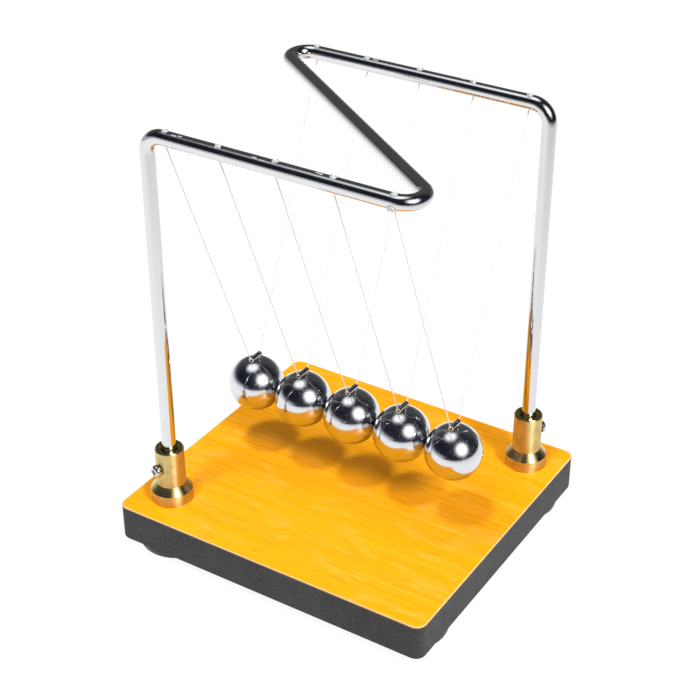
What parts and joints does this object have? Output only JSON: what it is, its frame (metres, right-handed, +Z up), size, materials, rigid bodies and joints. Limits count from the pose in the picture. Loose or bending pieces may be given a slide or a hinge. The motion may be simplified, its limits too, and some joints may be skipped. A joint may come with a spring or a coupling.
{
  "type": "newtons cradle",
  "caption": "Desk newton's cradle: polished steel balls on V threads under a bent chromed rod frame, brass sockets, wood-top board with round feet",
  "frame": {"origin": "middle of the footprint, on the surface that the feet stand on", "axes": "+X along the row of balls, +Y from the front beam to the back beam, +Z up"},
  "size_m": [0.135, 0.125, 0.1757],
  "materials": {
    "core_board": "raw particle board",
    "wood_laminate": "yellow-orange wood-grain laminate, semi-gloss",
    "edge_band": "charcoal, matt",
    "backing_sheet": "dark, matt",
    "foot_rubber": "black, satin",
    "adhesive": "pale foam adhesive",
    "turned_brass": "turned and polished",
    "bright_screw": "bright",
    "zinc_bolt": "zinc plated",
    "chromed_rod": "mirror",
    "polished_ball": "mirror",
    "steel_tube": "satin",
    "nylon_thread": "clear nylon line",
    "glue": "whitish set glue"
  },
  "bodies": {
    "root": {"base_core": "core_board", "top_laminate": "wood_laminate", "edge_band": "edge_band", "bottom_sheet": "backing_sheet", "foot_front_left": "foot_rubber", "foot_front_right": "foot_rubber", "foot_back_left": "foot_rubber", "foot_back_right": "foot_rubber", "foot_adhesive_discs": "adhesive", "socket_left": "turned_brass", "socket_right": "turned_brass", "clamp_screw_left": "bright_screw", "clamp_screw_right": "bright_screw", "socket_bolts": "zinc_bolt", "socket_washers": "zinc_bolt", "frame_rod": "chromed_rod", "knots_front": "nylon_thread", "knots_back": "nylon_thread", "glue_front": "glue", "glue_back": "glue"},
    "ball_1_swing": {"ball_1": "polished_ball", "ferrule_1": "steel_tube", "thread_1": "nylon_thread"},
    "ball_2_swing": {"ball_2": "polished_ball", "ferrule_2": "steel_tube", "thread_2": "nylon_thread"},
    "ball_3_swing": {"ball_3": "polished_ball", "ferrule_3": "steel_tube", "thread_3": "nylon_thread"},
    "ball_4_swing": {"ball_4": "polished_ball", "ferrule_4": "steel_tube", "thread_4": "nylon_thread"},
    "ball_5_swing": {"ball_5": "polished_ball", "ferrule_5": "steel_tube", "thread_5": "nylon_thread"}
  },
  "joints": [
    {"name": "swing_1", "type": "hinge", "parent": "root", "child": "ball_1_swing", "pos_m": [-0.0448, 0, 0.16925], "axis": [0, 1, 0], "range_deg": [0, 40]},
    {"name": "swing_2", "type": "hinge", "parent": "root", "child": "ball_2_swing", "pos_m": [-0.0224, 0, 0.16925], "axis": [0, 1, 0], "range_deg": [-0.08, 0.08]},
    {"name": "swing_3", "type": "hinge", "parent": "root", "child": "ball_3_swing", "pos_m": [0, 0, 0.16925], "axis": [0, 1, 0], "range_deg": [-0.08, 0.08]},
    {"name": "swing_4", "type": "hinge", "parent": "root", "child": "ball_4_swing", "pos_m": [0.0224, 0, 0.16925], "axis": [0, 1, 0], "range_deg": [-0.08, 0.08]},
    {"name": "swing_5", "type": "hinge", "parent": "root", "child": "ball_5_swing", "pos_m": [0.0448, 0, 0.16925], "axis": [0, 1, 0], "range_deg": [-40, 0]}
  ]
}
